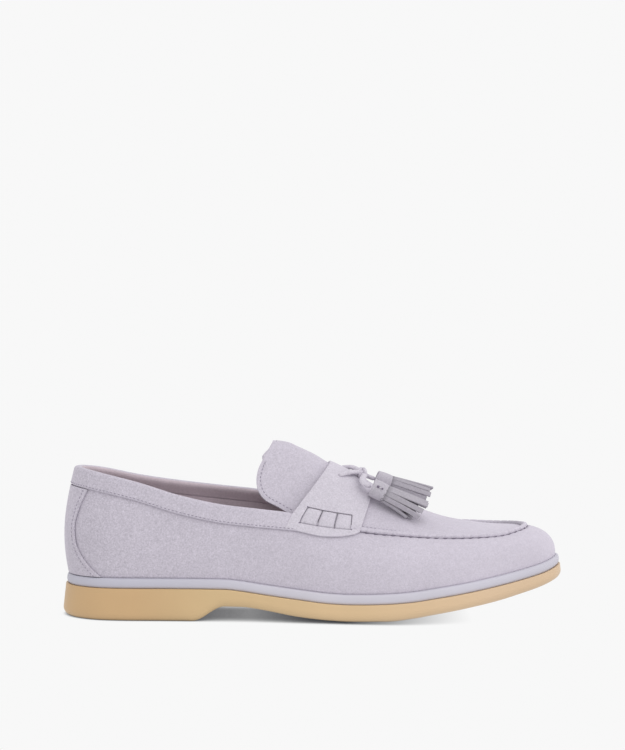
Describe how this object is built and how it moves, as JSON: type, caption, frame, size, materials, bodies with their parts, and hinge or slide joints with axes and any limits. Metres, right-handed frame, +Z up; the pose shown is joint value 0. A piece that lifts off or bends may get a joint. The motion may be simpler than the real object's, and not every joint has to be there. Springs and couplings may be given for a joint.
{
  "type": "tassel loafer",
  "caption": "Low suede slip-on shoe with a hollow upper, raised apron seam, cut-out saddle, two tassels, rubber sole and a low heel.",
  "frame": {"origin": "on the floor, under the middle of the sole's length and width", "axes": "+X towards the toe, +Y towards the inner side of the foot, +Z up"},
  "size_m": [0.3, 0.1037, 0.1042],
  "materials": {
    "suede": "matt napped suede",
    "trim_suede": "matt napped suede",
    "lining": "smooth matt leather",
    "grey_rubber": "matt foam rubber",
    "gum_rubber": "satin gum rubber"
  },
  "bodies": {
    "root": {"outsole": "gum_rubber", "midsole": "grey_rubber", "insole": "lining", "upper": "suede", "tongue": "suede", "collar_strip": "suede", "heel_counter": "suede", "saddle": "trim_suede", "pad_outer_1": "trim_suede", "pad_outer_2": "trim_suede", "pad_outer_3": "trim_suede", "pad_inner_1": "trim_suede", "pad_inner_2": "trim_suede", "pad_inner_3": "trim_suede", "lace": "trim_suede", "tassel_head_outer": "trim_suede", "tassel_fringe_outer": "trim_suede", "tassel_head_inner": "trim_suede", "tassel_fringe_inner": "trim_suede"}
  },
  "joints": []
}
